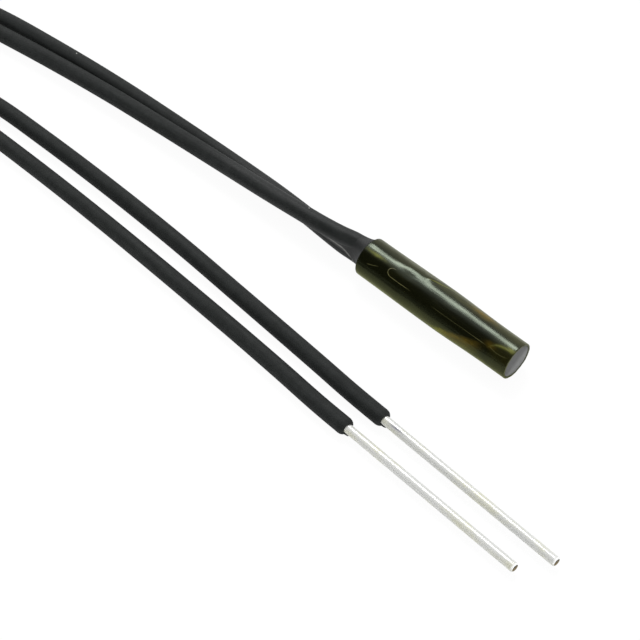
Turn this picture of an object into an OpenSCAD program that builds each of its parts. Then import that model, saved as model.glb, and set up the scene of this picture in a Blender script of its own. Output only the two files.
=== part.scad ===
// Bead thermistor potted in a polyimide sleeve, with two insulated leads, in millimetres.
// The sleeve lies along X on the plane z = 0, with its tip at +X and its leads leaving at -X.
// The origin is under the middle of the head, which is the sleeve with the meniscus of its potting.

/* [Sleeve] */
// Length of the polyimide sleeve
sleeve_len = 6.35; // [5.5:0.05:12]
// Wall of the sleeve
sleeve_wall = 0.08; // [0.05:0.01:0.15]
// Round on the sleeve's outer edges
sleeve_edge = 0.03; // [0.01:0.005:0.04]
// Room between the two leads and the sleeve's bore, on each side
lead_room = 0.02; // [0.01:0.01:0.1]

/* [Leads] */
// Diameter over the insulation
lead_d = 0.6; // [0.55:0.01:0.6]
// Diameter of the solid conductor
conductor_d = 0.32; // [0.24:0.01:0.36]
// Length of insulation inside the sleeve
lead_in = 1.5; // [1:0.05:2]
// Bare length at the end of lead 1
strip_1 = 7.2; // [3:0.05:12]
// Bare length at the end of lead 2
strip_2 = 7.05; // [3:0.05:12]
// Chamfer at the cut ends of the bare wires
wire_chamfer = 0.03; // [0.01:0.01:0.06]

/* [Potting] */
// How far the potting climbs along the leads, past the sleeve's end
meniscus_len = 0.35; // [0.2:0.05:0.5]
// How far the potting's face lies inside the sleeve's tip
tip_recess = 0.02; // [0.01:0.01:0.1]

/* [Sensing bead] */
// Diameter of the sintered bead
bead_d = 0.5; // [0.45:0.01:0.6]
// Glass over the bead
glass_wall = 0.12; // [0.08:0.01:0.2]
// Length of the glass neck behind the bead
glass_neck = 0.5; // [0.3:0.05:0.8]
// Glass around the bead wires at the end of the neck
neck_wall = 0.06; // [0.04:0.01:0.1]
// Distance from the sleeve's tip to the bead's middle
bead_from_tip = 1; // [0.6:0.05:1.5]
// Diameter of the bead's platinum-alloy wires
bead_wire_d = 0.06; // [0.04:0.01:0.08]

/* [Solder joints] */
// Length of bead wire lapped on each conductor
lap_len = 0.7; // [0.4:0.05:0.9]
// Solder over the lapped bead wire
solder_cover = 0.02; // [0.01:0.01:0.05]
// Distance from the insulation's end to the solder
solder_gap = 0.1; // [0.05:0.05:0.3]

/* [Hidden] */

$fn = 64;
cord_sides = 8;   // flat sides of a lead
cut_over = 0.2;   // how far a cutting shape runs past what it cuts
core_room = 0.02; // between a conductor and the bore of its insulation
core_lap = 0.3;   // how far a lead's core runs into the round wire at each of its ends

lead_r = lead_d / 2;
conductor_r = conductor_d / 2;
bead_wire_r = bead_wire_d / 2;
bore_r = 2 * lead_r + lead_room;
sleeve_r = bore_r + sleeve_wall;
axis_z = sleeve_r;

head_len = sleeve_len + meniscus_len;
tip_x = head_len / 2;
sleeve_x = tip_x - sleeve_len;  // the sleeve's wire end
head_x = -head_len / 2;         // the end of the meniscus
lead_x = sleeve_x + lead_in;    // where the insulation ends, inside the sleeve

bead_x = tip_x - bead_from_tip;
glass_r = bead_d / 2 + glass_wall;
solder_r = conductor_r + bead_wire_d + solder_cover;
lap_x = lead_x + solder_gap + solder_r;
stub_x = lap_x + lap_len;       // where a conductor ends, inside its solder

// Lead 1 leaves the sleeve above lead 2. The bead wires run along the inner sides of the conductors.
lead_side = [1, -1];
bead_wire_off = lead_r - conductor_r - bead_wire_r;

// Routes of the leads over the table. A row is x, y and the share of the height at the sleeve that is left.
way_out_1 = [
    [-3.7, -0.025, 0.985], [-4.2, -0.11, 0.935], [-5, -0.185, 0.855], [-6.2, -0.23, 0.72], [-7.6, -0.28, 0.59],
    [-9.2, -0.34, 0.49], [-11, -0.42, 0.41], [-13, -0.52, 0.33], [-15, -0.64, 0.26], [-17, -0.81, 0.2],
    [-19, -1.02, 0.14], [-21, -1.27, 0.08]
];
way_out_2 = [
    [-3.7, 0, 0.88], [-4.2, 0, 0.62], [-5, 0.055, 0.37], [-6.2, 0.15, 0.1], [-7.6, 0.2, 0],
    [-9.2, 0.19, 0], [-11, 0.15, 0], [-13, 0.09, 0], [-15, 0.01, 0], [-17, -0.12, 0],
    [-19, -0.3, 0], [-21, -0.52, 0]
];
// Middle of the pair round the turn, where the leads lie side by side
turn = [
    [-23, -1.2], [-25, -1.6], [-27.2, -2.2], [-29.2, -3.1], [-30.8, -4.4],
    [-31.8, -6.1], [-31.8, -8], [-30.8, -9.6], [-29.2, -10.4], [-27.5, -10.2],
    [-26.2, -9.2], [-25.1, -7.9], [-24, -6.7], [-22.7, -5.6], [-21.2, -4.9]
];
turn_gap = 0.34;  // from the middle of the pair to each lead
way_back_1 = [
    [-19.4, -3.97], [-17.8, -3.77], [-15.4, -3.7], [-12.8, -3.69], [-10.3, -3.73], [-7.8, -3.82],
    [-5.4, -3.96], [-3.1, -4.1], [-1.2, -4.22], [0.4, -4.33], [1.85, -4.39]
];
way_back_2 = [
    [-19.5, -4.97], [-17.8, -4.9], [-15.6, -4.87], [-13.2, -4.87], [-10.8, -4.91], [-8.4, -4.98],
    [-6, -5.07], [-3.9, -5.16], [-1.9, -5.27], [-0.1, -5.39], [1.26, -5.44]
];

function unit(v) = v / norm(v);
function last(list) = list[len(list) - 1];
function exit_z(i) = axis_z + lead_side[i] * lead_r;
function height(i, share) = lead_r + share * (exit_z(i) - lead_r);

// Points of a flat path moved sideways by d, to the left of its way
function beside(path, d) = [
    for (k = [0:len(path) - 1])
        let (way = unit(path[min(k + 1, len(path) - 1)] - path[max(k - 1, 0)]))
            path[k] + d * [-way[1], way[0]]
];

// Whole route of a lead's middle, from the end of its insulation in the sleeve to where it is stripped
function route(i) = concat(
    [for (x = [lead_x, head_x]) [x, 0, exit_z(i)]],
    [for (p = i == 0 ? way_out_1 : way_out_2) [p[0], p[1], height(i, p[2])]],
    [for (p = beside(turn, lead_side[i] * turn_gap)) [p[0], p[1], lead_r]],
    [for (p = i == 0 ? way_back_1 : way_back_2) [p[0], p[1], lead_r]]
);
function way_at(path, k) = unit(path[min(k + 1, len(path) - 1)] - path[max(k - 1, 0)]);
function end_way(path) = way_at(path, len(path) - 1);

// Ring of points around a path's point k, with flat sides below and beside it
function ring(path, k, r) =
    let (way = way_at(path, k), side = unit(cross([0, 0, 1], way)), up = cross(way, side))
        [for (s = [0:cord_sides - 1])
            let (a = (s + 0.5) * 360 / cord_sides) path[k] + r * (cos(a) * side + sin(a) * up)];

// Faces between two rings of points that start at indices a and b
function band(a, b) = [
    for (s = [0:cord_sides - 1])
        let (t = (s + 1) % cord_sides)
            each [[a + s, a + t, b + t], [a + s, b + t, b + s]]
];
function flipped(faces) = [for (f = faces) [f[2], f[1], f[0]]];

// Solid rod of flat sides along a path
module rod(path, r) {
    n = len(path);
    points = [for (k = [0:n - 1]) each ring(path, k, r)];
    first = [for (s = [0:cord_sides - 1]) cord_sides - 1 - s];
    end = [for (s = [0:cord_sides - 1]) (n - 1) * cord_sides + s];
    skin = [for (k = [0:n - 2]) each band(k * cord_sides, (k + 1) * cord_sides)];
    polyhedron(points, concat([first, end], flipped(skin)));
}

// Hollow tube of flat sides along a path
module hose(path, r, bore) {
    n = len(path);
    inner = n * cord_sides;
    end = (n - 1) * cord_sides;
    points = concat(
        [for (k = [0:n - 1]) each ring(path, k, r)],
        [for (k = [0:n - 1]) each ring(path, k, bore)]
    );
    outside = [for (k = [0:n - 2]) each band(k * cord_sides, (k + 1) * cord_sides)];
    inside = [for (f = outside) f + [inner, inner, inner]];
    polyhedron(points, concat(flipped(outside), inside, band(0, inner), flipped(band(end, inner + end))));
}

// Places children that stand along +Z so that they run along +X from x, at dz above the sleeve's axis
module along(x, dz = 0) {
    translate([x, 0, axis_z + dz]) rotate([0, 90, 0]) children();
}

module polyimide_sleeve() {
    color([0.35, 0.3, 0.08, 0.8]) difference() {
        along(sleeve_x) rotate_extrude() difference() {
            square([sleeve_r, sleeve_len]);
            for (end = [0, 1])
                translate([sleeve_r, end * sleeve_len]) edge_corner(end);
        }
        along(sleeve_x - cut_over) cylinder(r = bore_r, h = sleeve_len + 2 * cut_over);
    }
}

// What a rounded outer edge takes off the square corner of the sleeve's section
module edge_corner(end) {
    mirror([0, end]) translate([-sleeve_edge, 0]) difference() {
        translate([0, -cut_over]) square([sleeve_edge + cut_over, sleeve_edge + cut_over]);
        translate([0, sleeve_edge]) circle(sleeve_edge);
    }
}

module glass_drop() {
    neck_x = bead_x - glass_r - glass_neck;
    neck_r = bead_wire_off + bead_wire_r + neck_wall;
    from_bead = norm([bead_x - neck_x, neck_r]);
    // The neck is a cone that leaves the ball where it is tangent to it
    touch = atan2(bead_x - neck_x, neck_r) - acos(glass_r / from_bead);
    touch_x = bead_x - glass_r * sin(touch);
    along(bead_x) sphere(glass_r);
    along(neck_x) cylinder(r1 = neck_r, r2 = glass_r * cos(touch), h = touch_x - neck_x);
}

module bead_ball() {
    along(bead_x) sphere(bead_d / 2);
}

// A bead wire runs from the bead's middle to the start of its lap on the conductor
module bead_wire(i) {
    along(lap_x, lead_side[i] * bead_wire_off) cylinder(r = bead_wire_r, h = bead_x - lap_x);
}

module conductor_stub(i) {
    along(lead_x, lead_side[i] * lead_r) cylinder(r = conductor_r, h = stub_x - lead_x);
}

module solder_blob(i) {
    along(lap_x, lead_side[i] * lead_r) {
        cylinder(r = solder_r, h = lap_len);
        for (z = [0, lap_len]) translate([0, 0, z]) sphere(solder_r);
    }
}

// Space that a lead's insulation takes up in the potting
module lead_space(i) {
    along(head_x - cut_over, lead_side[i] * lead_r)
        rotate(180 / cord_sides)
            cylinder(r = lead_r, h = lead_x - head_x + cut_over, $fn = cord_sides);
}

// Epoxy fill, with a hollow meniscus that climbs from the sleeve's bore on to the leads
module potting() {
    color([0.16, 0.17, 0.15]) difference() {
        union() {
            along(sleeve_x) cylinder(r = bore_r, h = sleeve_len - tip_recess);
            along(head_x) difference() {
                cylinder(r = bore_r, h = meniscus_len);
                rotate_extrude() translate([bore_r, 0]) circle(meniscus_len);
            }
        }
        glass_drop();
        for (i = [0, 1]) {
            bead_wire(i);
            solder_blob(i);
            conductor_stub(i);
            lead_space(i);
        }
    }
}

module sensing_bead() {
    color([0.2, 0.19, 0.2]) difference() {
        bead_ball();
        for (i = [0, 1]) bead_wire(i);
    }
}

module glass_coat() {
    color([0.55, 0.65, 0.5, 0.6]) difference() {
        glass_drop();
        bead_ball();
        for (i = [0, 1]) bead_wire(i);
    }
}

module platinum_wire(i) {
    color([0.75, 0.75, 0.73]) bead_wire(i);
}

module solder_joint(i) {
    color([0.62, 0.63, 0.64]) difference() {
        solder_blob(i);
        conductor_stub(i);
        bead_wire(i);
    }
}

// Round bare wire at the free end, with chamfered cut
module bare_end(i) {
    path = route(i);
    way = end_way(path);
    strip = i == 0 ? strip_1 : strip_2;
    translate(last(path)) rotate([0, 90, atan2(way[1], way[0])]) {
        cylinder(r = conductor_r, h = strip - wire_chamfer);
        translate([0, 0, strip - wire_chamfer])
            cylinder(r1 = conductor_r, r2 = conductor_r - wire_chamfer, h = wire_chamfer);
    }
}

// A lead's route, lengthened at both ends to run into the round wire there
function core_route(path) = [
    for (k = [0:len(path) - 1])
        path[k] + (k == 0 ? -core_lap : k == len(path) - 1 ? core_lap : 0) * way_at(path, k)
];

// One tinned copper wire from the solder joint, through the insulation, to its bare end
module conductor(i) {
    color([0.78, 0.78, 0.76]) union() {
        conductor_stub(i);
        rod(core_route(route(i)), conductor_r - core_room);
        bare_end(i);
    }
}

module insulation(i) {
    color([0.11, 0.12, 0.12]) hose(route(i), lead_r, conductor_r);
}

polyimide_sleeve();
potting();
sensing_bead();
glass_coat();
platinum_wire(0);  // bead_wire_1
platinum_wire(1);  // bead_wire_2
solder_joint(0);  // solder_joint_1
solder_joint(1);  // solder_joint_2
conductor(0);  // conductor_1
conductor(1);  // conductor_2
insulation(0);  // insulation_1
insulation(1);  // insulation_2
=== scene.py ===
"""Looks of a bead thermistor: a potted polyimide sleeve and two insulated leads with bare, tinned ends."""

import math

import bpy
import numpy as np
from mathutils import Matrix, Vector


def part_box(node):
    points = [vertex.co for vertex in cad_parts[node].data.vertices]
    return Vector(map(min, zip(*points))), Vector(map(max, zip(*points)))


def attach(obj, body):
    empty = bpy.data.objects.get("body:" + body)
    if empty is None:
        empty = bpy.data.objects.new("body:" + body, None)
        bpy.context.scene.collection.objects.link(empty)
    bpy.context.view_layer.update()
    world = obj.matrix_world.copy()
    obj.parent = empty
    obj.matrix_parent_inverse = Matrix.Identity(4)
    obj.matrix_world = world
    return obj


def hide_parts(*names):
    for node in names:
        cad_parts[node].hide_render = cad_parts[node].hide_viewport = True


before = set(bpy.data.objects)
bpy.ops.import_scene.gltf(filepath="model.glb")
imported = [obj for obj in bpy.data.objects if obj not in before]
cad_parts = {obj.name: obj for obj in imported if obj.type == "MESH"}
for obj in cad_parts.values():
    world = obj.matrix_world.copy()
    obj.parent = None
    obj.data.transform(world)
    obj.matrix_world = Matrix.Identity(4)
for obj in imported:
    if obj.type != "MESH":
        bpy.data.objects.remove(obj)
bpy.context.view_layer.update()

bl_info = {
    "name": "Bead thermistor",
    "version": (1, 0, 0),
    "blender": (4, 5, 0),
    "location": "View3D > Sidebar > Thermistor",
    "description": "Builds the looks of a bead thermistor around its packed solids",
    "category": "Object",
}

MM = 0.001
WHITE = (1.0, 1.0, 1.0, 1.0)

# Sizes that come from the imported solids
sleeve_low, sleeve_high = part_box("polyimide_sleeve")
potting_low, potting_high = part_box("potting")
SLEEVE_RADIUS = (sleeve_high.z - sleeve_low.z) / 2
AXIS_HEIGHT = (sleeve_high.z + sleeve_low.z) / 2
BORE_RADIUS = (potting_high.z - potting_low.z) / 2
HEAD_END = potting_low.x
FACE_X = potting_high.x

# Routes of the leads, in millimetres, as the solids have them
LEAD_RADIUS = 0.3
LEAD_START = -1.5
STUB_END = -0.46
TURN_GAP = 0.34
LEAD_SIDE = (1, -1)
STRIP = (7.2, 7.05)
WAY_OUT = (
    (
        (-3.7, -0.025, 0.985), (-4.2, -0.11, 0.935), (-5, -0.185, 0.855), (-6.2, -0.23, 0.72),
        (-7.6, -0.28, 0.59), (-9.2, -0.34, 0.49), (-11, -0.42, 0.41), (-13, -0.52, 0.33),
        (-15, -0.64, 0.26), (-17, -0.81, 0.2), (-19, -1.02, 0.14), (-21, -1.27, 0.08),
    ),
    (
        (-3.7, 0, 0.88), (-4.2, 0, 0.62), (-5, 0.055, 0.37), (-6.2, 0.15, 0.1),
        (-7.6, 0.2, 0), (-9.2, 0.19, 0), (-11, 0.15, 0), (-13, 0.09, 0),
        (-15, 0.01, 0), (-17, -0.12, 0), (-19, -0.3, 0), (-21, -0.52, 0),
    ),
)
TURN = (
    (-23, -1.2), (-25, -1.6), (-27.2, -2.2), (-29.2, -3.1), (-30.8, -4.4),
    (-31.8, -6.1), (-31.8, -8), (-30.8, -9.6), (-29.2, -10.4), (-27.5, -10.2),
    (-26.2, -9.2), (-25.1, -7.9), (-24, -6.7), (-22.7, -5.6), (-21.2, -4.9),
)
WAY_BACK = (
    (
        (-19.4, -3.97), (-17.8, -3.77), (-15.4, -3.7), (-12.8, -3.69), (-10.3, -3.73), (-7.8, -3.82),
        (-5.4, -3.96), (-3.1, -4.1), (-1.2, -4.22), (0.4, -4.33), (1.85, -4.39),
    ),
    (
        (-19.5, -4.97), (-17.8, -4.9), (-15.6, -4.87), (-13.2, -4.87), (-10.8, -4.91), (-8.4, -4.98),
        (-6, -5.07), (-3.9, -5.16), (-1.9, -5.27), (-0.1, -5.39), (1.26, -5.44),
    ),
)

# Hand-cut tip: its furthest side as y and z, its raggedness, and its taper in shares of the sleeve's length
UPPER_NEAR = (-0.52, 0.85)
TIP_RAGGED = 0.003 * MM
TAPER_START = 0.5
TAPER_SPAN = 0.35

# Stripped end of the insulation: the sides where its shred hangs and where it is cut shorter
SHRED_SIDE = (0, -0.5, -0.866)
NEAR_SIDE = (0, -1, 0)

# Potting: its radius just inside the insulation, the round on its ground face and its gap to the sleeve
SNUG_RADIUS = 0.97 * LEAD_RADIUS * MM
FACE_EDGE = 0.02 * MM
SLEEVE_GAP = 0.005 * MM

# Fineness of the leads: sides, steps along their paths, and the length and the points of their fine ends
LEAD_SIDES = 40
LEAD_STEP = 0.2 * MM
LEAD_END = (0.3 * MM, 24)
WIRE_SIDES = 32
WIRE_POINTS = 36
WIRE_END = (0.1 * MM, 14)
CURVE_STEPS = 24

# Fineness of the head: sides, steps along the leads in it, and rings of the sleeve and of the potting
HEAD_SIDES = 96
HEAD_TURNS = np.linspace(0, 2 * math.pi, HEAD_SIDES, endpoint=False)
HEAD_STEP = 0.05 * MM
EDGE_RINGS = 6
WALL_RINGS = 42
BORE_RINGS = 12
WEB_RINGS = 24
CLIMB_RINGS = 16
FILL_RINGS = 10
FACE_EDGE_RINGS = 5
FACE_SHARES = (0.9, 0.7, 0.4, 0.15)

# Stage: the camera, the lamps' directions and distances, the way to the room's open front, and the floor
EYE = Vector((25.987, -31.700, 47.140)) * MM
TARGET = Vector((-2.659, -2.702, 0)) * MM
FOCAL_LENGTH = 107.27
SENSOR_WIDTH = 36.0
KEY_WAY = Vector((-0.39, 0.366, 0.846))
KEY_DISTANCE = 0.5
FILL_WAY = Vector((0.1, -0.7, 0.7))
FILL_DISTANCE = 0.8
OPEN_FRONT = (-0.46, -0.89)
FLOOR_HALF = 2.0
FLOOR_LEVEL = -0.01 * MM

# What every colour setting and every small length setting shares
COLOUR = {"size": 3, "min": 0.0, "max": 1.0, "subtype": "COLOR"}
LENGTH = {"unit": "LENGTH", "precision": 6}


class SleeveSettings(bpy.types.PropertyGroup):
    """Shape and finish of the polyimide sleeve."""

    swell: bpy.props.FloatProperty(
        name="Swell", description="How much wider the sleeve is at its middle than at its ends",
        default=0.028, min=0.0, max=0.04, subtype="FACTOR")
    taper: bpy.props.FloatProperty(
        name="Taper", description="How much narrower the sleeve is at its tip",
        default=0.05, min=0.0, max=0.08, subtype="FACTOR")
    edge: bpy.props.FloatProperty(
        name="Edge", description="Round on the sleeve's outer edges",
        default=0.03 * MM, min=0.01 * MM, max=0.04 * MM, **LENGTH)
    tip_reach: bpy.props.FloatProperty(
        name="Tip reach", description="How far the hand-cut tip stands past the square cut of the solids",
        default=0.06 * MM, min=0.0, max=0.2 * MM, **LENGTH)
    tip_slant: bpy.props.FloatProperty(
        name="Tip slant", description="How much further out the tip stands on its upper near side",
        default=0.05 * MM, min=0.0, max=0.2 * MM, **LENGTH)
    filling: bpy.props.FloatVectorProperty(
        name="Filling", description="Dark potting seen through the film",
        default=(0.004, 0.0041, 0.0019), **COLOUR)
    # Olive is also the painted sheen along the sleeve's sides
    olive: bpy.props.FloatVectorProperty(
        name="Olive", description="Film where the potting lies a little deeper",
        default=(0.022, 0.0203, 0.0065), **COLOUR)
    # Partly painted light: haze on the far side, which faces the light, is laid on lighter than the rest
    haze_and_sheen: bpy.props.FloatVectorProperty(
        name="Dull", description="Film on the far side, where it is hazy",
        default=(0.042, 0.04, 0.021), **COLOUR)
    amber: bpy.props.FloatVectorProperty(
        name="Amber", description="Film over a hollow in the potting",
        default=(0.105, 0.066, 0.0065), **COLOUR)
    # Yellow also serves as painted light on the hollows by the sleeve's lower near side
    yellow: bpy.props.FloatVectorProperty(
        name="Yellow", description="Film where the least potting lies under it",
        default=(0.176, 0.18, 0.04), **COLOUR)
    cut_edge: bpy.props.FloatVectorProperty(
        name="Cut edge", description="Cut end of the film at the tip",
        default=(0.08, 0.08, 0.065), **COLOUR)
    # Painted glint: the edges of the hollows are real, their brightness stands for light caught on them
    glint: bpy.props.FloatVectorProperty(
        name="Hollow edge", description="Thin bright edges of the hollows under the film",
        default=(0.2, 0.187, 0.13), **COLOUR)
    gloss: bpy.props.FloatVectorProperty(
        name="Gloss", description="Tint of the film's reflections",
        default=(0.87, 1.0, 1.0), **COLOUR)
    film: bpy.props.FloatVectorProperty(
        name="Film", description="Tint of the clear film, which is deeper at a slant",
        default=(0.75, 0.78, 0.3), **COLOUR)


class PottingSettings(bpy.types.PropertyGroup):
    """Shape and finish of the epoxy at both ends of the sleeve."""

    climb_start: bpy.props.FloatProperty(
        name="Climb start",
        description="Where the meniscus starts on the leads, in millimetres along the sleeve",
        default=-3.75, min=-4.5, max=-3.1)
    web_start: bpy.props.FloatProperty(
        name="Web start",
        description="Where the web between the leads starts, in millimetres along the sleeve",
        default=-6.4, min=-9.0, max=-4.6)
    web_width: bpy.props.FloatProperty(
        name="Web width", description="Width of the thin end of the web of epoxy between the leads",
        default=0.43 * MM, min=0.05 * MM, max=0.5 * MM, **LENGTH)
    lip: bpy.props.FloatProperty(
        name="Lip", description="How far inside the film's outer face the meniscus ends",
        default=0.005 * MM, min=0.0, max=0.08 * MM, **LENGTH)
    face: bpy.props.FloatVectorProperty(
        name="Cut face", description="Ground face of the potting at the tip",
        default=(0.075, 0.0765, 0.075), **COLOUR)
    meniscus: bpy.props.FloatVectorProperty(
        name="Meniscus", description="Cured surface of the potting around the leads",
        default=(0.018, 0.019, 0.019), **COLOUR)
    # A thin pale line drawn along the leads beside the sleeve, at a set height
    pale_line: bpy.props.FloatVectorProperty(
        name="Web", description="Thin epoxy that has crept along between the leads",
        default=(0.17, 0.17, 0.16), **COLOUR)


class LeadSettings(bpy.types.PropertyGroup):
    """Shape and finish of the insulation."""

    cut_round: bpy.props.FloatProperty(
        name="Cut round", description="Round on the insulation's cut edge",
        default=0.12 * MM, min=0.01 * MM, max=0.13 * MM, **LENGTH)
    wander: bpy.props.FloatProperty(
        name="Cut wander", description="How far the cut strays along the lead",
        default=0.035 * MM, min=0.0, max=0.1 * MM, **LENGTH)
    skew: bpy.props.FloatProperty(
        name="Cut skew", description="How much shorter the insulation is on its near side",
        default=0.03 * MM, min=0.0, max=0.3 * MM, **LENGTH)
    shred: bpy.props.FloatProperty(
        name="Shred", description="Length of the shred that the stripping leaves under the wire",
        default=0.15 * MM, min=0.0, max=0.4 * MM, **LENGTH)
    colour: bpy.props.FloatVectorProperty(
        name="Colour", description="Black of the insulation",
        default=(0.0085, 0.0098, 0.0094), **COLOUR)
    streak: bpy.props.FloatVectorProperty(
        name="Streak", description="Paler streaks along the insulation",
        default=(0.0185, 0.0205, 0.02), **COLOUR)
    dust: bpy.props.FloatVectorProperty(
        name="Dust", description="Few pale specks of dust on the insulation",
        default=(0.4, 0.4, 0.38), **COLOUR)


class WireSettings(bpy.types.PropertyGroup):
    """Shape and finish of the conductors."""

    radius: bpy.props.FloatProperty(
        name="Radius", description="Radius of the solid conductor",
        default=0.16 * MM, min=0.1 * MM, max=0.2 * MM, **LENGTH)
    chamfer: bpy.props.FloatProperty(
        name="Chamfer", description="Round on the wire's cut edge",
        default=0.045 * MM, min=0.005 * MM, max=0.06 * MM, **LENGTH)
    tin: bpy.props.FloatVectorProperty(
        name="Tin", description="Tin on the copper",
        default=(0.55, 0.555, 0.54), **COLOUR)
    stain: bpy.props.FloatVectorProperty(
        name="Stain", description="Yellowish stains on the tin",
        default=(0.52, 0.515, 0.37), **COLOUR)
    # Partly painted glint: fresh tin from the cutter, laid on only the upper side of the end
    nipped_end_glint: bpy.props.FloatVectorProperty(
        name="Nipped end", description="Tin that the cutter left bright around the wire's end",
        default=(0.8, 0.805, 0.79), **COLOUR)
    scrape: bpy.props.FloatVectorProperty(
        name="Scrape", description="Dark scrape beside the insulation of the first wire",
        default=(0.2, 0.2, 0.23), **COLOUR)
    copper: bpy.props.FloatVectorProperty(
        name="Copper", description="Copper on the wire's cut face",
        default=(0.19, 0.145, 0.075), **COLOUR)


class StageSettings(bpy.types.PropertyGroup):
    """Floor and light."""

    floor: bpy.props.FloatVectorProperty(
        name="Floor", description="Colour of the floor under the light",
        default=(0.93, 0.93, 0.93), **COLOUR)
    shadow: bpy.props.FloatProperty(
        name="Shadow", description="Share of the lit floor in what the camera sees of it",
        default=0.06, min=0.0, max=1.0, subtype="FACTOR")
    walls: bpy.props.FloatProperty(
        name="Walls", description="Brightness of the room's walls around the floor",
        default=0.75, min=0.0, max=2.0)
    dim: bpy.props.FloatProperty(
        name="Dim", description="Brightness of the ceiling and of the open front of the room",
        default=0.06, min=0.0, max=2.0)
    side: bpy.props.FloatProperty(
        name="Side", description="Extra brightness of the wall that the tip points at",
        default=0.7, min=0.0, max=4.0)
    halo: bpy.props.FloatProperty(
        name="Halo", description="Brightness of the haze around the softbox, towards the front of the room",
        default=1.8, min=0.0, max=6.0)
    key_size: bpy.props.FloatProperty(
        name="Key size", description="Side of the square softbox",
        default=0.16, min=0.05, max=2.0, unit="LENGTH")
    key_power: bpy.props.FloatProperty(
        name="Key power", description="Power of the softbox",
        default=1.42, min=0.0, max=50.0, unit="POWER")
    fill_size: bpy.props.FloatProperty(
        name="Fill size", description="Side of the square lamp in front",
        default=1.0, min=0.05, max=4.0, unit="LENGTH")
    fill_power: bpy.props.FloatProperty(
        name="Fill power", description="Power of the lamp in front",
        default=4.4, min=0.0, max=50.0, unit="POWER")


class Flow:
    """A socket of a node tree. Arithmetic on it adds Math nodes to that tree."""

    def __init__(self, tree, socket=None):
        self.tree = tree
        self.socket = socket

    def node(self, kind, settings=None, inputs=None, output=0):
        """Adds a node, sets it, then fills its inputs by name or number, and returns one of its outputs."""
        made = self.tree.nodes.new(kind)
        for name, value in (settings or {}).items():
            setattr(made, name, value)
        for key, value in (inputs or {}).items():
            if isinstance(value, Flow):
                self.tree.links.new(value.socket, made.inputs[key])
            else:
                made.inputs[key].default_value = value
        return Flow(self.tree, made.outputs[output] if made.outputs else None)

    def other(self, output):
        """Another output of the same node."""
        return Flow(self.tree, self.socket.node.outputs[output])

    def maths(self, operation, first, second=0.0, clamp=False):
        settings = {"operation": operation, "use_clamp": clamp}
        return self.node("ShaderNodeMath", settings, {0: first, 1: second})

    def vector(self, operation, inputs, output=0):
        return self.node("ShaderNodeVectorMath", {"operation": operation}, inputs, output)

    def __add__(self, other):
        return self.maths("ADD", self, other)

    def __radd__(self, other):
        return self.maths("ADD", other, self)

    def __sub__(self, other):
        return self.maths("SUBTRACT", self, other)

    def __rsub__(self, other):
        return self.maths("SUBTRACT", other, self)

    def __mul__(self, other):
        return self.maths("MULTIPLY", self, other)

    def __rmul__(self, other):
        return self.maths("MULTIPLY", other, self)

    def __truediv__(self, other):
        return self.maths("DIVIDE", self, other)

    def __rtruediv__(self, other):
        return self.maths("DIVIDE", other, self)

    def __pow__(self, other):
        return self.maths("POWER", self, other)

    def __rpow__(self, other):
        return self.maths("POWER", other, self)

    def clamped(self):
        """The same value, held between 0 and 1."""
        return self.maths("ADD", self, 0.0, True)

    def top(self, other):
        """The larger of two values."""
        return self.maths("MAXIMUM", self, other)

    def rise(self, low, high):
        """0 below low and 1 above high, with a soft step between them."""
        settings = {"interpolation_type": "SMOOTHSTEP"}
        return self.node("ShaderNodeMapRange", settings, {"Value": self, "From Min": low, "From Max": high})

    def fall(self, low, high):
        """1 below low and 0 above high, with a soft step between them."""
        return 1 - self.rise(low, high)

    def within(self, start, end):
        """1 between a soft step up and a soft step down, each given by where it begins and ends."""
        return self.rise(*start) * self.fall(*end)

    def bell(self, middle, width):
        """1 at the middle, falling away on both sides."""
        share = (self - middle) / width
        return math.e ** (share * share * -1)

    def blend(self, first, second):
        """Colour between two others, at this share of the second."""
        colours = [c if isinstance(c, Flow) else (*c, 1) for c in (first, second)]
        return self.node("ShaderNodeMix", {"data_type": "RGBA"}, {0: self, 6: colours[0], 7: colours[1]}, 2)

    def noise(self, scale, detail=2.0, roughness=0.5, stretch=(1, 1, 1)):
        """Noise with spots of about 1 mm over the scale, longer along an axis whose stretch is under 1."""
        place = self.node("ShaderNodeMapping", None, {"Vector": self, "Scale": stretch})
        values = {"Vector": place, "Scale": scale / MM, "Detail": detail, "Roughness": roughness}
        return self.node("ShaderNodeTexNoise", None, values)

    def split(self):
        """The three parts of a vector or a colour."""
        parts = self.node("ShaderNodeSeparateXYZ", None, {0: self})
        return [parts.other(k) for k in range(3)]

    def attribute(self, name, output="Fac"):
        """An attribute of the piece's own mesh."""
        return self.node("ShaderNodeAttribute", {"attribute_name": name}, output=output)


def empty_tree(owner):
    """Start of an empty node tree in a material or a world."""
    owner.use_nodes = True
    owner.node_tree.nodes.clear()
    return Flow(owner.node_tree)


def new_material(name):
    """An empty material, and the object's own coordinates in it."""
    material = bpy.data.materials.new(name)
    return material, empty_tree(material).node("ShaderNodeTexCoord", output="Object")


def finish_material(material, place, inputs, bump, depth):
    """Ends a material in one Principled shader, with a bump of this height and depth."""
    inputs["Normal"] = place.node("ShaderNodeBump", None, {"Height": bump, "Distance": depth})
    shader = place.node("ShaderNodeBsdfPrincipled", None, inputs)
    place.node("ShaderNodeOutputMaterial", None, {"Surface": shader})
    return material


def shade(colour, share):
    """The same colour, this many times as bright."""
    return [part * share for part in colour]


def upper_near(y, z):
    """How far a place beside the sleeve's axis lies towards its upper near side."""
    return y * UPPER_NEAR[0] + z * UPPER_NEAR[1]


# Marks on the film, in millimetres along the sleeve and degrees around it, from its top to its near side

def spot(along, around, middle, size):
    """Soft spot, with its middle and its size given along and around the sleeve."""
    return along.bell(middle[0], size[0]) * around.bell(middle[1], size[1])


def trail(along, around, way, width, start, end):
    """Mark of this width that follows a way around the sleeve, from a soft start to a soft end along it."""
    return (around - way).bell(0, width) * along.within(start, end)


def fork_way(along):
    """Where the upper branch of the fork at the tip lies."""
    return 20 + 25 * math.e ** ((along - 2.6) * -4)


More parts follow.
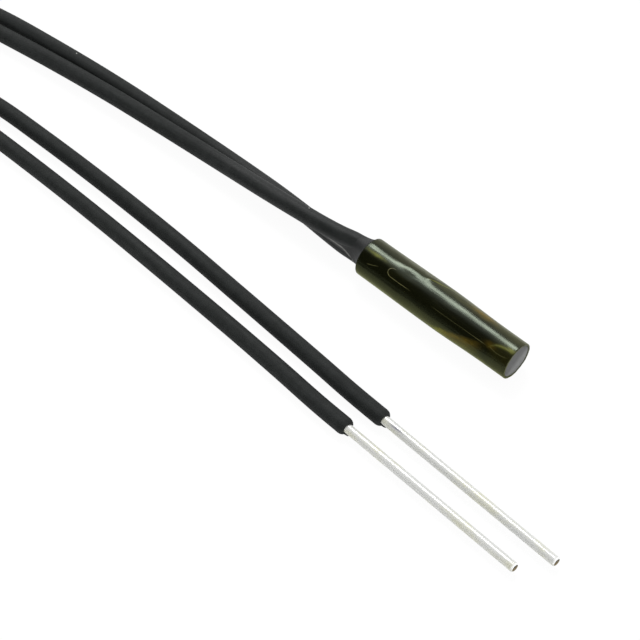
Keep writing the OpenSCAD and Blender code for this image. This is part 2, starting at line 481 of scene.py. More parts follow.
def film_hollows(along, around, grain):
    """Hollows in the potting that show through the film, and how yellow they are, with painted light that
    yellows them towards the lower near side.
    """
    below_edge = around - (110 - along * 25)
    low = below_edge.within((-9, 5), (15, 60)) * along.within((-0.1, 0.8), (1.7, 2.6))
    low = low * (0.8 + along.bell(0.8, 0.35) * 0.5)
    high = spot(along, around, (1.75, -29), (0.4, 12)) * 1.8
    at_tip = spot(along, around, (2.62, 40), (0.2, 7)) * 0.6
    under_tip = spot(along, around, (2.48, 104), (0.15, 9)) * 0.5
    hollows = (low + high + at_tip + under_tip) * (0.55 + grain * 0.6)
    # Partly painted light: the hollows turn yellower and paler towards the sleeve's lower near side,
    # standing for its slanting reflections
    yellow = (below_edge.rise(10, 40) * 0.45).top(along.fall(0.4, 1.3) * around.rise(60, 90) * 0.85)
    return hollows.clamped(), yellow


def film_spots(along, around, steady):
    """Yellow spots and streaks, where the least potting lies under the film."""
    by_leads = spot(along, around, (-2.5, 19), (0.35, 5)) * 0.9
    at_tip = spot(along, around, (3.28, 18), (0.14, 6))
    streak = trail(along, steady, fork_way(along), 4, (2.5, 3.1), (3.3, 3.45)) * 0.75
    rim_way = -15 - (along + 0.5) * 24
    high_rim = trail(along, steady, rim_way, 2.2, (-0.65, -0.45), (0.2, 0.5)) * 0.8
    return by_leads.top(at_tip).top(streak).top(high_rim)


def film_lines(along, steady):
    """Thin lines painted bright as glints: a seam with a hook at its start, a fork at the tip and a tick by
    the leads.
    """
    first_run = along.within((-1.75, -1.55), (-1.0, -0.65))
    long_run = along.within((0.1, 0.5), (2.25, 2.6)) * (0.4 + along.bell(2.2, 0.4) * 0.5)
    seam = steady.bell(46.3, 0.6) * (first_run + long_run)
    hook_span = ((along + 1.6) / 0.2) ** 2 + ((steady - 34) / 12) ** 2
    hook = (hook_span ** 0.5).bell(1, 0.055) * along.fall(-1.68, -1.56)
    fork_up = trail(along, steady, fork_way(along), 1.2, (2.55, 2.65), (3.2, 3.36)) * 0.25
    down_way = 48 - (along - 2.97) ** 2 * 40
    fork_down = trail(along, steady, down_way, 0.8, (2.6, 2.7), (3.2, 3.36)) * 0.45
    tick_way = 53 - (along + 2.57) * 28
    tick = trail(along, steady, tick_way, 1, (-2.64, -2.55), (-2.3, -2.15)) * 0.5
    return seam.top(hook).top(fork_up).top(fork_down).top(tick)


def film_relief(place, along, around, lines):
    """Height of the film: ripples, draw marks, the lines, and a dent and a lobe that bend its highlight."""
    ripple = place.noise(1.1, 1, 0.4, (0.45, 1, 1))
    drawn = place.noise(12, 2, 0.6, (0.06, 1, 1))
    dent_reach = 25
    dent = around / dent_reach * spot(along, around, (-1.15, 0), (0.45, dent_reach)) * -1.15
    lobe = spot(along, around, (-0.52, -22), (0.2, 16))
    return ripple * 1.3 + drawn * 0.06 + lines * 0.1 + dent + lobe


def film_material(look):
    """Glossy amber film over dark potting, with painted sheen on its sides and painted glints along its
    lines.
    """
    material, place = new_material("polyimide_film")
    x, y, z = place.split()
    along = x / MM + (place.noise(1.6, 2) - 0.5) * 0.16
    turn = place.maths("ARCTAN2", y * -1, z - AXIS_HEIGHT) * math.degrees(1)
    wander = (place.noise(2.2, 3) - 0.5) * 9
    around = turn + wander
    steady = turn + wander * 0.25

    haze = place.noise(1.3, 4, 0.6, (0.35, 1, 1)).rise(0.48, 0.75)
    grain = place.noise(9.0, 3, 0.7, (0.3, 1, 1)).rise(0.35, 0.75)
    light_grain = 0.6 + grain * 0.4
    half_grain = 0.5 + grain * 0.5
    side = y / SLEEVE_RADIUS
    # Painted sheen: the film's sides are blended towards olive, standing for the light they reflect at a
    # slant
    painted_edge_sheen = (side * side).rise(0.85, 1.1)
    pale_end = along.rise(2.4, 3) * 0.6
    # Partly painted light: the far side, which faces the light, is blended towards a lighter hazy olive
    far = around.fall(-20, 0) * (0.5 + along.rise(-2.5, 1) * 0.5)
    hollows, yellow = film_hollows(along, around, grain)
    spots = film_spots(along, around, steady) * half_grain
    lines = film_lines(along, steady) * half_grain
    cut = place.attribute("cut")
    colour = (haze.top(painted_edge_sheen).top(pale_end) * light_grain).blend(look.filling, look.olive)
    colour = (far * light_grain).blend(colour, look.haze_and_sheen)
    colour = hollows.blend(colour, yellow.blend(look.amber, look.yellow))
    colour = spots.blend(colour, look.yellow)
    # The lines are the hollows' edges, laid on bright as painted glints
    colour = lines.clamped().blend(colour, look.glint)
    colour = cut.blend(colour, look.cut_edge)
    scuffs = place.noise(4, 3, 0.6, (0.12, 1, 1)).rise(0.35, 0.8)
    inputs = {
        "Base Color": colour,
        "Roughness": 0.17 + along.bell(0.4, 0.8) * 0.06 + scuffs * 0.13 + cut * 0.4,
        "IOR": 1.39,
        "Specular Tint": (*look.gloss, 1),
        "Coat Weight": 0.35 + around.rise(20, 45) * 0.35,
        "Coat Roughness": 0.25,
        "Coat IOR": 1.03,
        "Coat Tint": (*look.film, 1),
    }
    return finish_material(material, place, inputs, film_relief(place, along, around, lines), 0.05 * MM)


def epoxy_material(look):
    """Ground grey face at the tip with painted light on its lower far side, and dark cured epoxy around the
    leads with a thin pale line along them.
    """
    material, place = new_material("potting_epoxy")
    x, y, z = place.split()
    speckle = place.noise(14, 4, 0.7)
    cloud = place.noise(2.2, 3)
    face = x.rise(FACE_X - 0.2 * MM, FACE_X - 0.1 * MM)
    mottle = speckle.rise(0.4, 0.75) * 0.4 + cloud.rise(0.4, 0.7) * 0.2
    ground = mottle.blend(look.face, shade(look.face, 1.35))
    upper = upper_near(y, z - AXIS_HEIGHT) / BORE_RADIUS
    # Painted light: the ground face is made about twice as bright towards its lower far side
    ground = upper.fall(-0.5, 0.25).blend(ground, shade(look.face, 2.1))
    climbed = x.rise(HEAD_END - 0.3 * MM, sleeve_low.x)
    cured = (climbed * (0.7 + cloud * 0.6)).blend(shade(look.meniscus, 0.6), look.meniscus)
    # A thin pale line at a set height along the leads beside the sleeve, bending down near the sleeve
    line_height = 0.655
    line_bend = -4.1
    past_bend = (x / MM - line_bend).top(0)
    above_line = z / MM - line_height + past_bend ** 1.7 * 0.75
    pale_line = above_line.bell(0, 0.045) * y.fall(-0.25 * MM, -0.1 * MM) * (0.5 + speckle)
    pale_line = pale_line * x.fall(HEAD_END - 0.1 * MM, HEAD_END + 0.02 * MM)
    cured = pale_line.clamped().blend(cured, look.pale_line)
    inputs = {
        "Base Color": face.blend(cured, ground),
        "Roughness": 0.62 + face * 0.1 + speckle * 0.1 - climbed * 0.12,
        "IOR": 1.38,
    }
    return finish_material(material, place, inputs, speckle, 0.008 * MM)


def insulation_material(look):
    """Matte black plastic with faint streaks and a few specks of dust, smoother beside the sleeve."""
    material, place = new_material("black_insulation")
    x, y, _ = place.split()
    rim = [part * LEAD_RADIUS * MM for part in place.attribute("rim", "Vector").split()[:2]]
    lie = place.node("ShaderNodeCombineXYZ", None, {0: place.attribute("to_end"), 1: rim[0], 2: rim[1]})
    streaks = lie.noise(7, 3, 0.6, (0.05, 1, 1)).rise(0.35, 0.75)
    mottle = place.noise(4, 4, 0.6).rise(0.35, 0.7)
    colour = (streaks * 0.5 + mottle * 0.4).blend(look.colour, look.streak)
    cells = place.node("ShaderNodeTexVoronoi", None, {"Vector": place, "Scale": 1.25 / MM})
    rare = cells.other("Color").split()[0].rise(0.8, 0.82)
    dust = cells.fall(0.015, 0.045) * rare
    fine = place.noise(26, 3, 0.7)
    by_sleeve = x.rise(-11.5 * MM, -8.5 * MM) * y.rise(-2.5 * MM, -1.5 * MM)
    inputs = {
        "Base Color": dust.blend(colour, look.dust),
        "Roughness": 0.66 + fine * 0.16 - by_sleeve * 0.17,
        "IOR": 1.3,
    }
    return finish_material(material, place, inputs, fine + dust * 1.5, 0.006 * MM)


def tinned_material(look):
    """Drawn tin on copper, scraped on the first wire, with a partly painted glint around the upper side of
    its end and the copper showing on the cut face, its upper part in painted shade.
    """
    material, place = new_material("tinned_copper")
    x, y, z = place.split()
    above = z / MM - LEAD_RADIUS
    to_end = place.attribute("to_end")
    drawn = place.noise(16, 3, 0.6, (0.04, 1, 1))
    patches = place.noise(1.8, 4, 0.65, (0.5, 1, 1)).rise(0.45, 0.75)
    pits = place.noise(20, 2, 0.7, (0.5, 1, 1)).rise(0.6, 0.75)
    tin = (patches * 0.8 + pits * 0.2).blend(look.tin, look.stain)
    scrape = (x / MM).bell(2.42, 0.32) * (y / MM).bell(-4.475, 0.032) * above.rise(0, 0.06)
    tin = scrape.blend(tin, look.scrape)
    # Partly painted glint: bright fresh tin near the end, kept to the upper side where the light catches it
    end_glint = to_end.fall(0.03 * MM, 0.08 * MM) * above.rise(-0.02, 0.1)
    tin = end_glint.blend(tin, look.nipped_end_glint)
    cut = to_end.fall(0.0002 * MM, 0.001 * MM)
    # Painted shade: the upper part of the cut face is darkened almost to black
    lower = above.fall(0, 0.08) * (0.6 + place.noise(18, 3, 0.7) * 0.6)
    copper_with_painted_shade = lower.blend(shade(look.copper, 0.05), look.copper)
    inputs = {
        "Base Color": cut.blend(tin, copper_with_painted_shade),
        "Metallic": 0.12 - cut * 0.12,
        "Roughness": 0.2 + drawn * 0.05 + patches * 0.05 + cut * 0.5,
        "IOR": 1.35,
    }
    return finish_material(material, place, inputs, drawn, 0.0006 * MM)


def inner_material(name, dark, pale, scale, inputs):
    """Finish of a piece that lies inside the potting: two colours in a fine mottle."""
    material, place = new_material(name)
    mottle = place.noise(scale, 4, 0.6)
    values = {"Base Color": mottle.rise(0.35, 0.7).blend(dark, pale), **inputs}
    return finish_material(material, place, values, mottle, 0.004 * MM)


def floor_material(stage):
    """Plain floor that the camera, metal and gloss see as white, with the object's shadow on it."""
    material = bpy.data.materials.new("floor")
    path = empty_tree(material).node("ShaderNodeLightPath", output="Is Camera Ray")
    seen = path.top(path.other("Is Glossy Ray")).top(path.other("Is Transmission Ray"))
    lit = path.node("ShaderNodeBsdfDiffuse", None, {"Color": (*stage.floor, 1)})
    white = path.node("ShaderNodeEmission", None, {"Color": WHITE, "Strength": 1.0})
    seen_floor = path.node("ShaderNodeMixShader", None, {0: stage.shadow, 1: white, 2: lit})
    surface = path.node("ShaderNodeMixShader", None, {0: seen, 1: lit, 2: seen_floor})
    path.node("ShaderNodeOutputMaterial", None, {"Surface": surface})
    return material


def room_world(stage):
    """Dim room with lit walls, a brighter wall past the tip and a haze around the softbox."""
    world = bpy.data.worlds.new("Room")
    way = empty_tree(world).node("ShaderNodeTexCoord", output="Generated")
    x, y, up = way.split()
    open_front = (x * OPEN_FRONT[0] + y * OPEN_FRONT[1]).rise(0.3, 0.75)
    lit = (up.fall(0.3, 0.5) * (1 - open_front)).top(y.rise(-0.35, 0.2))
    side = x.rise(0.45, 0.9)
    halo = x.bell(-0.45, 0.25) * y.within((-0.45, 0.35), (0.35, 0.6)) * up.rise(0.3, 0.6)
    glow = lit * (stage.walls - stage.dim) + stage.dim + side * stage.side + halo * stage.halo
    room = way.node("ShaderNodeBackground", None, {"Color": WHITE, "Strength": glow})
    way.node("ShaderNodeOutputWorld", None, {"Surface": room})
    return world


def add_piece(name, mesh, material=None):
    """A new object at the origin with this mesh."""
    piece = bpy.data.objects.new(name, mesh)
    bpy.context.scene.collection.objects.link(piece)
    if material is not None:
        mesh.materials.append(material)
    return piece


def lofted(name, rings, material, closed=False):
    """Smooth skin over rings of points, with a fan at each end or its last ring joined to its first."""
    rings = np.asarray(rings, float)
    count, sides, _ = rings.shape
    points = [tuple(p) for p in rings.reshape(-1, 3)]
    faces = []
    for k in range(count if closed else count - 1):
        here = k * sides
        there = (k + 1) % count * sides
        for s in range(sides):
            t = (s + 1) % sides
            faces.append((here + s, here + t, there + t, there + s))
    if not closed:
        for start, turn in ((0, -1), ((count - 1) * sides, 1)):
            points.append(tuple(rings.reshape(-1, 3)[start:start + sides].mean(axis=0)))
            for s in range(sides):
                fan = (start + s, start + (s + 1) % sides, len(points) - 1)
                faces.append(fan[::turn])
    mesh = bpy.data.meshes.new(name)
    mesh.from_pydata(points, [], faces)
    mesh.polygons.foreach_set("use_smooth", [True] * len(faces))
    mesh.validate()
    mesh.update()
    return add_piece(name, mesh, material)


def rounded_edge(radius, edge, steps):
    """Depths behind an end and radii, on the round that leads from the wall to that end."""
    quarter = np.linspace(0, math.pi / 2, steps)
    return [(edge * (1 - math.sin(a)), radius - edge * (1 - math.cos(a))) for a in quarter]


def ring_about_axis(x, radius):
    """Points around the sleeve's axis at x."""
    across = radius * np.cos(HEAD_TURNS)
    height = AXIS_HEIGHT + radius * np.sin(HEAD_TURNS)
    return np.column_stack([np.full(HEAD_SIDES, x), across, height])


def hand_cut(rings, look):
    """The same rings, wider at the middle and drawn out to a narrower, slanted and slightly ragged tip."""
    rings = np.array(rings, float)
    x, y, z = rings[..., 0], rings[..., 1], rings[..., 2] - AXIS_HEIGHT
    turn = np.arctan2(z, y)
    share = ((x - sleeve_low.x) / (sleeve_high.x - sleeve_low.x)).clip(0, 1)
    slant = look.tip_slant * upper_near(y, z) / SLEEVE_RADIUS
    ragged = TIP_RAGGED * (np.sin(7 * turn) + 0.6 * np.sin(17 * turn + 1) + 0.5 * np.sin(29 * turn))
    ragged *= np.hypot(y, z) / SLEEVE_RADIUS
    rings[..., 0] += share ** 2 * (look.tip_reach + slant) + share ** 16 * ragged
    narrow = ((share - TAPER_START) / TAPER_SPAN).clip(0, 1)
    width = 1 + look.swell * np.sin(math.pi * share) ** 2 - look.taper * narrow ** 2 * (3 - 2 * narrow)
    rings[..., 1] = y * width
    rings[..., 2] = np.maximum(AXIS_HEIGHT + z * width, 0)
    return rings


def lead_middle(x, path):
    """The y and z of a lead's middle at x, on its way out."""
    way_out = path[:np.argmin(path[:, 0])]
    return np.array([np.interp(-x, -way_out[:, 0], way_out[:, k]) for k in (1, 2)])


def ring_about_leads(x, paths, radius):
    """Points around both leads at x, on circles of this radius about them and the lines between these."""
    first, second = [lead_middle(x, path) for path in paths]
    half = np.linalg.norm(first - second) / 2
    tilt = math.atan2(first[1] - second[1], first[0] - second[0])
    upright = np.abs(np.cos(HEAD_TURNS - tilt))
    across = np.abs(np.sin(HEAD_TURNS - tilt))
    flat = radius / np.maximum(across, 1e-6)
    round_end = half * upright + np.sqrt(np.maximum(radius ** 2 - (half * across) ** 2, 0))
    reach = np.where(flat * upright <= half, flat, round_end)
    middle = (first + second) / 2
    around = middle + reach[:, None] * np.column_stack([np.cos(HEAD_TURNS), np.sin(HEAD_TURNS)])
    return np.column_stack([np.full(HEAD_SIDES, x), around])


def lead_route(index):
    """Points of a lead's middle in metres, from inside the sleeve to where it is stripped."""
    side = LEAD_SIDE[index]
    leave = AXIS_HEIGHT / MM + side * LEAD_RADIUS
    route = [(x, 0, leave) for x in (LEAD_START, HEAD_END / MM)]
    route += [(x, y, LEAD_RADIUS + share * (leave - LEAD_RADIUS)) for x, y, share in WAY_OUT[index]]
    turn = np.array(TURN, float)
    way = np.vstack([turn[1] - turn[0], turn[2:] - turn[:-2], turn[-1] - turn[-2]])
    way /= np.linalg.norm(way, axis=1)[:, None]
    beside = turn + side * TURN_GAP * np.column_stack([-way[:, 1], way[:, 0]])
    route += [(x, y, LEAD_RADIUS) for x, y in (*beside, *WAY_BACK[index])]
    return np.array(route, float) * MM


def run_along(points):
    """Length of the path up to each of its points."""
    return np.concatenate([[0], np.cumsum(np.linalg.norm(np.diff(points, axis=0), axis=1))])


def at_lengths(points, lengths):
    """Points at these lengths along the path."""
    run = run_along(points)
    return np.column_stack([np.interp(lengths, run, points[:, k]) for k in range(3)])


def smooth_path(route, step):
    """Points a step apart on a smooth curve through the route, with its bends spread over uneven spans."""
    ends = np.vstack([2 * route[0] - route[1], route, 2 * route[-1] - route[-2]])
    fine = []
    for k in range(len(route) - 1):
        four = ends[k:k + 4]
        knots = np.concatenate([[0], np.cumsum(np.linalg.norm(np.diff(four, axis=0), axis=1) ** 0.5)])
        share = np.linspace(knots[1], knots[2], CURVE_STEPS, endpoint=False)[:, None]
        level = list(four)
        for reach in (1, 2, 3):
            spans = [(knots[1], knots[2])] if reach == 3 else list(zip(knots, knots[reach:]))
            level = [
                ((b - share) * level[i] + (share - a) * level[i + 1]) / (b - a)
                for i, (a, b) in enumerate(spans)
            ]
        fine.append(level[0])
    fine = np.vstack([*fine, route[-1:]])
    length = run_along(fine)[-1]
    return at_lengths(fine, np.linspace(0, length, max(2, round(length / step))))


def with_fine_end(points, detail, count):
    """The same path with many more points in the last bit, where the cut end is shaped."""
    run = run_along(points)
    coarse = run[run < run[-1] - detail * 1.5]
    fine = run[-1] - detail * np.linspace(1, 0, count) ** 2
    return at_lengths(points, np.concatenate([coarse, fine]))


ROD_INPUTS = {
    "Geometry": "Geometry", "Radius": "Float", "Cut Round": "Float", "Cut Wander": "Float",
    "Cut Skew": "Float", "Shred": "Float", "Sides": "Int", "Material": "Material",
}


def stored(geometry, name, kind, value):
    """The same geometry, which keeps a value for each of its points."""
    inputs = {0: geometry, "Name": name, "Value": value}
    return geometry.node("GeometryNodeStoreNamedAttribute", {"data_type": kind}, inputs)


def swept_rod(given):
    """A rod along its path, with a rounded far edge, whose points keep their place on the path."""
    radius, cut_round = given.other("Radius"), given.other("Cut Round")
    position = given.node("GeometryNodeInputPosition")
    length = given.node("GeometryNodeSplineLength")
    to_end = length - given.node("GeometryNodeSplineParameter", output="Length")
    path = given.node("GeometryNodeMeshToCurve", None, {0: given})
    path = stored(path, "to_end", "FLOAT", to_end)
    path = stored(path, "middle", "FLOAT_VECTOR", position)
    path = stored(path, "way", "FLOAT_VECTOR", given.node("GeometryNodeInputTangent"))
    size = {"Resolution": given.other("Sides"), "Radius": 1.0}
    circle = given.node("GeometryNodeCurvePrimitiveCircle", None, size)
    circle = stored(circle, "rim", "FLOAT_VECTOR", position)
    short = 1 - given.maths("DIVIDE", to_end, cut_round * 1.6, True)
    reach = radius - cut_round * (1 - (1 - short * short) ** 0.5)
    inputs = {"Curve": path, "Profile Curve": circle, "Scale": reach, "Fill Caps": True}
    return given.node("GeometryNodeCurveToMesh", None, inputs)


def ragged_end(given, rod):
    """The same rod with its far end cut askew, a little ragged and with a shred left on it."""
    position = given.node("GeometryNodeInputPosition")
    to_end, middle, way = [
        given.node("GeometryNodeInputNamedAttribute", {"data_type": kind}, {"Name": name})
        for name, kind in (("to_end", "FLOAT"), ("middle", "FLOAT_VECTOR"), ("way", "FLOAT_VECTOR"))
    ]
    out = given.vector("NORMALIZE", {0: given.vector("SUBTRACT", {0: position, 1: middle})})
    by_shred = given.vector("DOT_PRODUCT", {0: out, 1: SHRED_SIDE}, "Value")
    near = given.vector("DOT_PRODUCT", {0: out, 1: NEAR_SIDE}, "Value")
    grain = {"Vector": position, "Scale": 5 / MM, "Detail": 2.0}
    ragged = given.node("ShaderNodeTexNoise", None, grain) - 0.5
    by_end = to_end.fall(0.05 * MM, 0.28 * MM)
    stray = (ragged * 2 * given.other("Cut Wander") - near * 0.5 * given.other("Cut Skew")) * by_end
    shred = by_shred.rise(0.88, 0.98) * to_end.fall(0.001 * MM, 0.012 * MM) * given.other("Shred")
    shift = given.vector("SCALE", {0: way, "Scale": stray + shred})
    rod = given.node("GeometryNodeSetPosition", None, {0: rod, "Offset": shift})
    for name in ("middle", "way"):
        rod = given.node("GeometryNodeRemoveAttribute", None, {0: rod, "Name": name})
    return rod


def cut_rod_tree():
    """Geometry nodes for a round rod along a path, smooth on its side and flat on its ends."""
    tree = bpy.data.node_groups.new("Cut rod", "GeometryNodeTree")
    for name, kind in ROD_INPUTS.items():
        tree.interface.new_socket(name, in_out="INPUT", socket_type="NodeSocket" + kind)
    tree.interface.new_socket("Geometry", in_out="OUTPUT", socket_type="NodeSocketGeometry")
    given = Flow(tree).node("NodeGroupInput")
    rod = ragged_end(given, swept_rod(given))
    neighbours = given.node("GeometryNodeInputMeshFaceNeighbors")
    less = {"data_type": "INT", "operation": "LESS_THAN"}
    side_face = given.node("FunctionNodeCompare", less, {2: neighbours, 3: 5})
    rod = given.node("GeometryNodeSetShadeSmooth", None, {0: rod, "Shade Smooth": side_face})
    rod = given.node("GeometryNodeRealizeInstances", None, {0: rod})
    rod = given.node("GeometryNodeSetMaterial", None, {0: rod, "Material": given.other("Material")})
    given.node("NodeGroupOutput", None, {0: rod})
    return tree


def cut_rod(name, points, values):
    """A rod along these points, as a plain mesh made by the geometry nodes."""
    tree = bpy.data.node_groups.get("Cut rod") or cut_rod_tree()
    line = bpy.data.meshes.new(name + "_path")
    line.from_pydata([tuple(p) for p in points], [(k, k + 1) for k in range(len(points) - 1)], [])
    path = add_piece(name + "_path", line)
    modifier = path.modifiers.new("Cut rod", "NODES")
    modifier.node_group = tree
    for item in tree.interface.items_tree:
        if item.in_out == "INPUT" and item.name in values:
            modifier[item.identifier] = values[item.name]
    depsgraph = bpy.context.evaluated_depsgraph_get()
    mesh = bpy.data.meshes.new_from_object(
        path.evaluated_get(depsgraph), preserve_all_data_layers=True, depsgraph=depsgraph)
    mesh.name = name
    bpy.data.objects.remove(path)
    bpy.data.meshes.remove(line)
    return add_piece(name, mesh)


def add_camera(scene):
    """The camera, at the photograph's viewing angle."""
    lens = bpy.data.cameras.new("Camera")
    lens.sensor_width = SENSOR_WIDTH
    lens.lens = FOCAL_LENGTH
    lens.clip_start = MM
    camera = bpy.data.objects.new("Camera", lens)
    camera.location = EYE
    camera.rotation_euler = (TARGET - EYE).to_track_quat("-Z", "Y").to_euler()
    scene.collection.objects.link(camera)
    scene.camera = camera


def add_lamp(name, towards, distance, size, power):
    """A square lamp that far off in this direction, turned to the origin."""
    lamp = bpy.data.lights.new(name, "AREA")
    lamp.shape = "SQUARE"
    lamp.size = size
    lamp.energy = power
    light = bpy.data.objects.new(name, lamp)
    light.location = towards * distance
    light.rotation_euler = towards.to_track_quat("Z", "Y").to_euler()
    bpy.context.scene.collection.objects.link(light)
    return light


class THERMISTOR_OT_stage(bpy.types.Operator):
    """Adds the camera, the floor and the light"""

    bl_idname = "thermistor.stage"
    bl_label = "Stage"

    def execute(self, context):
        scene = context.scene
        stage = scene.thermistor_stage
        add_camera(scene)
        mesh = bpy.data.meshes.new("floor")
        half = FLOOR_HALF
        square = ((-half, -half), (half, -half), (half, half), (-half, half))
        mesh.from_pydata([(x, y, FLOOR_LEVEL) for x, y in square], [], [(0, 1, 2, 3)])
        add_piece("floor", mesh, floor_material(stage))
        add_lamp("Key", KEY_WAY, KEY_DISTANCE, stage.key_size, stage.key_power)
        fill = add_lamp("Fill", FILL_WAY, FILL_DISTANCE, stage.fill_size, stage.fill_power)
        fill.visible_glossy = False
        scene.world = room_world(stage)
        scene.view_settings.view_transform = "Standard"
        return {"FINISHED"}


class THERMISTOR_OT_leads(bpy.types.Operator):
    """Builds the two leads: each one's bare-ended conductor, and its insulation as a free cord"""

    bl_idname = "thermistor.leads"
    bl_label = "Leads"

    def execute(self, context):
        lead = context.scene.thermistor_lead
        wire = context.scene.thermistor_wire
        black = insulation_material(lead)
        tinned = tinned_material(wire)
        for index in (0, 1):
            self.build(index, lead, wire, black, tinned)
        return {"FINISHED"}

    def build(self, index, lead, wire, black, tinned):
        number = index + 1
        route = lead_route(index)
        path = smooth_path(route, LEAD_STEP)
        heading = route[-1] - route[-2]
        heading /= np.linalg.norm(heading)
        stub = np.array([STUB_END * MM, route[0][1], route[0][2]])
        bare = path[-1] + heading * STRIP[index] * MM * np.linspace(0, 1, WIRE_POINTS)[1:, None]
        core = with_fine_end(np.vstack([stub, path, bare]), *WIRE_END)
        conductor = cut_rod(f"wire_{number}", core, {
            "Radius": wire.radius, "Cut Round": wire.chamfer, "Cut Wander": 0.0, "Cut Skew": 0.0,
            "Shred": 0.0, "Sides": WIRE_SIDES, "Material": tinned,
        })
        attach(conductor, "root")
        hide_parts(f"conductor_{number}")
        jacket = cut_rod(f"lead_{number}", with_fine_end(path, *LEAD_END), {
            "Radius": LEAD_RADIUS * MM, "Cut Round": lead.cut_round, "Cut Wander": lead.wander,
            "Cut Skew": lead.skew, "Shred": lead.shred, "Sides": LEAD_SIDES, "Material": black,
        })
        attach(jacket, "root")
        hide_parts(f"insulation_{number}")


class THERMISTOR_OT_sleeve(bpy.types.Operator):
    """Builds the polyimide sleeve: a thin tube with rounded edges, wider at its middle than at its tip"""

    bl_idname = "thermistor.sleeve"
    bl_label = "Sleeve"

    def execute(self, context):
        look = context.scene.thermistor_sleeve
        edge = look.edge
        inset = rounded_edge(SLEEVE_RADIUS, edge, EDGE_RINGS)
        back = [(sleeve_low.x + depth, radius) for depth, radius in reversed(inset)]
        front = [(sleeve_high.x - depth, radius) for depth, radius in inset]
        straight = np.linspace(sleeve_low.x + edge, sleeve_high.x - edge, WALL_RINGS)[1:-1]
        wall = [(x, SLEEVE_RADIUS) for x in straight]
        bore = [(x, BORE_RADIUS) for x in np.linspace(sleeve_high.x, sleeve_low.x, BORE_RINGS)]
        rings = [ring_about_axis(x, radius) for x, radius in (*back, *wall, *front, *bore)]
        sleeve = lofted("sleeve", hand_cut(rings, look), film_material(look), closed=True)
        bore_start = len(rings) - len(bore)
        on_cut = np.zeros(len(rings))
        on_cut[bore_start - 2:bore_start + 1] = 1
        cut = sleeve.data.attributes.new("cut", "FLOAT", "POINT")
        cut.data.foreach_set("value", np.repeat(on_cut, HEAD_SIDES))
        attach(sleeve, "root")
        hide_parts("polyimide_sleeve")
        return {"FINISHED"}


class THERMISTOR_OT_potting(bpy.types.Operator):
    """Builds the potting: a ground face at the tip and a meniscus that climbs on to the leads"""

    bl_idname = "thermistor.potting"
    bl_label = "Potting"

    def execute(self, context):
        look = context.scene.thermistor_potting
        paths = [smooth_path(lead_route(index), HEAD_STEP) for index in (0, 1)]
        thin = look.web_width / 2
        web_start = look.web_start * MM
        climb_start = look.climb_start * MM
        climb = sleeve_low.x - SLEEVE_GAP - climb_start
        rings = []
        for share in np.linspace(0, 1, WEB_RINGS)[:-1]:
            x = web_start + share * (climb_start - web_start)
            rings.append(ring_about_leads(x, paths, thin + (SNUG_RADIUS - thin) * share ** 3))
        for a in np.linspace(0, math.pi / 2, CLIMB_RINGS):
            x = climb_start + climb * math.sin(a)
            leads = ring_about_leads(x, paths, SNUG_RADIUS)
            rim = ring_about_axis(x, SLEEVE_RADIUS - look.lip)
            rings.append(leads + (rim - leads) * (1 - math.cos(a)))
        for x in np.linspace(sleeve_low.x, FACE_X, FILL_RINGS)[:-1]:
            rings.append(ring_about_axis(x, BORE_RADIUS))
        for depth, radius in rounded_edge(BORE_RADIUS, FACE_EDGE, FACE_EDGE_RINGS):
            rings.append(ring_about_axis(FACE_X - depth, radius))
        for share in FACE_SHARES:
            rings.append(ring_about_axis(FACE_X, BORE_RADIUS * share))
        rings = hand_cut(rings, context.scene.thermistor_sleeve)
        potting = lofted("potting_fill", rings, epoxy_material(look))
        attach(potting, "root")
        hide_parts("potting")
        return {"FINISHED"}


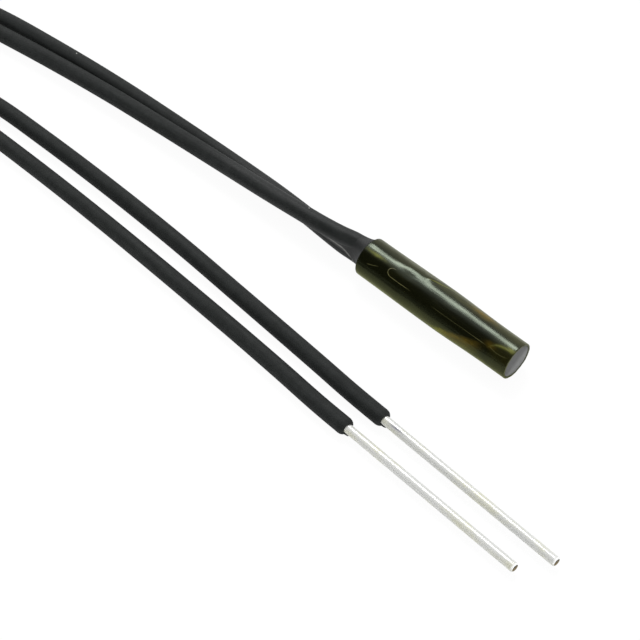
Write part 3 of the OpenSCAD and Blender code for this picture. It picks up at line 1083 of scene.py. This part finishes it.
class THERMISTOR_OT_inner_parts(bpy.types.Operator):
    """Finishes the pieces inside the potting: the bead, its glass, its wires and the solder joints"""

    bl_idname = "thermistor.inner_parts"
    bl_label = "Inner parts"

    def execute(self, context):
        oxide = inner_material(
            "sintered_oxide", (0.02, 0.019, 0.02), (0.06, 0.055, 0.06), 30, {"Roughness": 0.75})
        glass = inner_material(
            "bead_glass", (0.32, 0.42, 0.30), (0.42, 0.52, 0.38), 6,
            {"Roughness": 0.08, "Transmission Weight": 0.6})
        platinum = inner_material(
            "platinum_wire", (0.60, 0.59, 0.57), (0.72, 0.71, 0.68), 40,
            {"Metallic": 1.0, "Roughness": 0.3})
        solder = inner_material(
            "solder", (0.48, 0.49, 0.50), (0.66, 0.67, 0.68), 12, {"Metallic": 1.0, "Roughness": 0.4})
        finishes = {
            "sensing_bead": oxide, "glass_coat": glass, "bead_wire_1": platinum, "bead_wire_2": platinum,
            "solder_joint_1": solder, "solder_joint_2": solder,
        }
        for name, material in finishes.items():
            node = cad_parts[name]
            if not node.material_slots:
                node.data.materials.append(material)
            for slot in node.material_slots:
                slot.material = material
        return {"FINISHED"}


class THERMISTOR_PT_panel(bpy.types.Panel):
    """Lists the settings and the steps that build the thermistor"""

    bl_idname = "THERMISTOR_PT_panel"
    bl_label = "Thermistor"
    bl_space_type = "VIEW_3D"
    bl_region_type = "UI"
    bl_category = "Thermistor"

    def draw(self, context):
        for operator in OPERATORS:
            self.layout.operator(operator.bl_idname)
        for name in SETTINGS:
            group = getattr(context.scene, name)
            box = self.layout.box()
            for key in group.bl_rna.properties.keys():
                if key not in ("rna_type", "name"):
                    box.prop(group, key)


SETTINGS = {
    "thermistor_stage": StageSettings,
    "thermistor_lead": LeadSettings,
    "thermistor_wire": WireSettings,
    "thermistor_sleeve": SleeveSettings,
    "thermistor_potting": PottingSettings,
}
OPERATORS = (
    THERMISTOR_OT_stage, THERMISTOR_OT_leads, THERMISTOR_OT_sleeve, THERMISTOR_OT_potting,
    THERMISTOR_OT_inner_parts,
)


def register():
    for made in (*SETTINGS.values(), *OPERATORS, THERMISTOR_PT_panel):
        bpy.utils.register_class(made)
    for name, group in SETTINGS.items():
        setattr(bpy.types.Scene, name, bpy.props.PointerProperty(type=group))


def unregister():
    for name in SETTINGS:
        delattr(bpy.types.Scene, name)
    for made in (THERMISTOR_PT_panel, *reversed(OPERATORS), *reversed(list(SETTINGS.values()))):
        bpy.utils.unregister_class(made)


def main():
    register()
    bpy.ops.thermistor.stage()
    bpy.ops.thermistor.leads()
    bpy.ops.thermistor.sleeve()
    bpy.ops.thermistor.potting()
    bpy.ops.thermistor.inner_parts()


if __name__ == "__main__":
    main()
